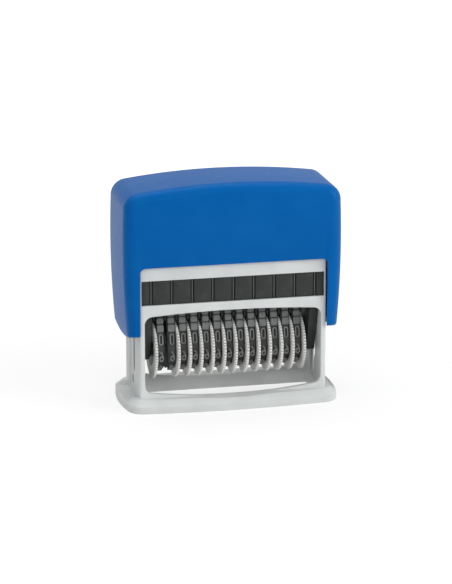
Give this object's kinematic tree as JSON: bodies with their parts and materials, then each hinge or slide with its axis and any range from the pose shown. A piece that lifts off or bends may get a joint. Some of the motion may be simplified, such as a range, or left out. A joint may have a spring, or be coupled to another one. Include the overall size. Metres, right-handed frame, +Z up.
{
  "type": "self-inking number stamp",
  "caption": "Desk number stamp: a spring cap flips a row of thumb-wheel number bands from an ink drawer down to the paper.",
  "frame": {"origin": "middle of the foot's underside, on the surface that the stamp stands on", "axes": "+X along the row of bands to the reader's right, +Y to the rear, +Z up"},
  "size_m": [0.0756, 0.0366, 0.078],
  "materials": {
    "frame_plastic": "light grey moulded ABS, fine satin",
    "cap_plastic": "blue moulded ABS, satin",
    "black_plastic": "black moulded plastic, satin",
    "wheel_plastic": "warm light grey moulded plastic",
    "band_rubber": "dark grey printing rubber",
    "ink_felt": "felt soaked with black ink",
    "spring_steel": "drawn spring wire",
    "axle_steel": "ground steel rod"
  },
  "bodies": {
    "base": {"base_frame": "frame_plastic"},
    "cap": {"cap_shell": "cap_plastic", "return_spring_left": "spring_steel", "return_spring_right": "spring_steel"},
    "ink_pad": {"ink_drawer": "black_plastic", "ink_felt": "ink_felt"},
    "print_unit": {"band_bridge": "black_plastic", "side_plate_left": "black_plastic", "side_plate_right": "black_plastic", "flip_cam_left": "wheel_plastic", "flip_cam_right": "wheel_plastic", "wheel_axle": "axle_steel", "number_band_01": "band_rubber", "number_band_02": "band_rubber", "number_band_03": "band_rubber", "number_band_04": "band_rubber", "number_band_05": "band_rubber", "number_band_06": "band_rubber", "number_band_07": "band_rubber", "number_band_08": "band_rubber", "number_band_09": "band_rubber", "number_band_10": "band_rubber", "number_band_11": "band_rubber", "number_band_12": "band_rubber", "number_band_13": "band_rubber"},
    "thumb_wheel_01": {"thumb_wheel_01": "wheel_plastic"},
    "thumb_wheel_02": {"thumb_wheel_02": "wheel_plastic"},
    "thumb_wheel_03": {"thumb_wheel_03": "wheel_plastic"},
    "thumb_wheel_04": {"thumb_wheel_04": "wheel_plastic"},
    "thumb_wheel_05": {"thumb_wheel_05": "wheel_plastic"},
    "thumb_wheel_06": {"thumb_wheel_06": "wheel_plastic"},
    "thumb_wheel_07": {"thumb_wheel_07": "wheel_plastic"},
    "thumb_wheel_08": {"thumb_wheel_08": "wheel_plastic"},
    "thumb_wheel_09": {"thumb_wheel_09": "wheel_plastic"},
    "thumb_wheel_10": {"thumb_wheel_10": "wheel_plastic"},
    "thumb_wheel_11": {"thumb_wheel_11": "wheel_plastic"},
    "thumb_wheel_12": {"thumb_wheel_12": "wheel_plastic"},
    "thumb_wheel_13": {"thumb_wheel_13": "wheel_plastic"}
  },
  "joints": [
    {"name": "cap_press", "type": "slide", "parent": "base", "child": "cap", "axis": [0, 0, -1], "range_m": [0, 0.021], "stiffness_N_per_m": 250, "springref_m": -0.012, "deforming": ["return_spring_left", "return_spring_right"]},
    {"name": "print_flip", "type": "hinge", "parent": "cap", "child": "print_unit", "pos_m": [0, 0, 0.0289], "axis": [-1, 0, 0], "range_deg": [0, 180]},
    {"name": "ink_drawer_slide", "type": "slide", "parent": "base", "child": "ink_pad", "axis": [0, 1, 0], "range_m": [-0.03, 0]},
    {"name": "wheel_01_turn", "type": "hinge", "parent": "print_unit", "child": "thumb_wheel_01", "pos_m": [-0.0259, 0, 0.01805], "axis": [1, 0, 0], "continuous": true},
    {"name": "wheel_02_turn", "type": "hinge", "parent": "print_unit", "child": "thumb_wheel_02", "pos_m": [-0.0181, 0, 0.01805], "axis": [1, 0, 0], "continuous": true},
    {"name": "wheel_03_turn", "type": "hinge", "parent": "print_unit", "child": "thumb_wheel_03", "pos_m": [-0.0141, 0, 0.01805], "axis": [1, 0, 0], "continuous": true},
    {"name": "wheel_04_turn", "type": "hinge", "parent": "print_unit", "child": "thumb_wheel_04", "pos_m": [-0.0101, 0, 0.01805], "axis": [1, 0, 0], "continuous": true},
    {"name": "wheel_05_turn", "type": "hinge", "parent": "print_unit", "child": "thumb_wheel_05", "pos_m": [-0.0061, 0, 0.01805], "axis": [1, 0, 0], "continuous": true},
    {"name": "wheel_06_turn", "type": "hinge", "parent": "print_unit", "child": "thumb_wheel_06", "pos_m": [-0.0021, 0, 0.01805], "axis": [1, 0, 0], "continuous": true},
    {"name": "wheel_07_turn", "type": "hinge", "parent": "print_unit", "child": "thumb_wheel_07", "pos_m": [0.0019, 0, 0.01805], "axis": [1, 0, 0], "continuous": true},
    {"name": "wheel_08_turn", "type": "hinge", "parent": "print_unit", "child": "thumb_wheel_08", "pos_m": [0.0059, 0, 0.01805], "axis": [1, 0, 0], "continuous": true},
    {"name": "wheel_09_turn", "type": "hinge", "parent": "print_unit", "child": "thumb_wheel_09", "pos_m": [0.0099, 0, 0.01805], "axis": [1, 0, 0], "continuous": true},
    {"name": "wheel_10_turn", "type": "hinge", "parent": "print_unit", "child": "thumb_wheel_10", "pos_m": [0.0139, 0, 0.01805], "axis": [1, 0, 0], "continuous": true},
    {"name": "wheel_11_turn", "type": "hinge", "parent": "print_unit", "child": "thumb_wheel_11", "pos_m": [0.0179, 0, 0.01805], "axis": [1, 0, 0], "continuous": true},
    {"name": "wheel_12_turn", "type": "hinge", "parent": "print_unit", "child": "thumb_wheel_12", "pos_m": [0.0219, 0, 0.01805], "axis": [1, 0, 0], "continuous": true},
    {"name": "wheel_13_turn", "type": "hinge", "parent": "print_unit", "child": "thumb_wheel_13", "pos_m": [0.0259, 0, 0.01805], "axis": [1, 0, 0], "continuous": true}
  ],
  "couplings": [
    {"joint": "print_flip", "follows": "cap_press", "rad_per_m": 149.6}
  ]
}
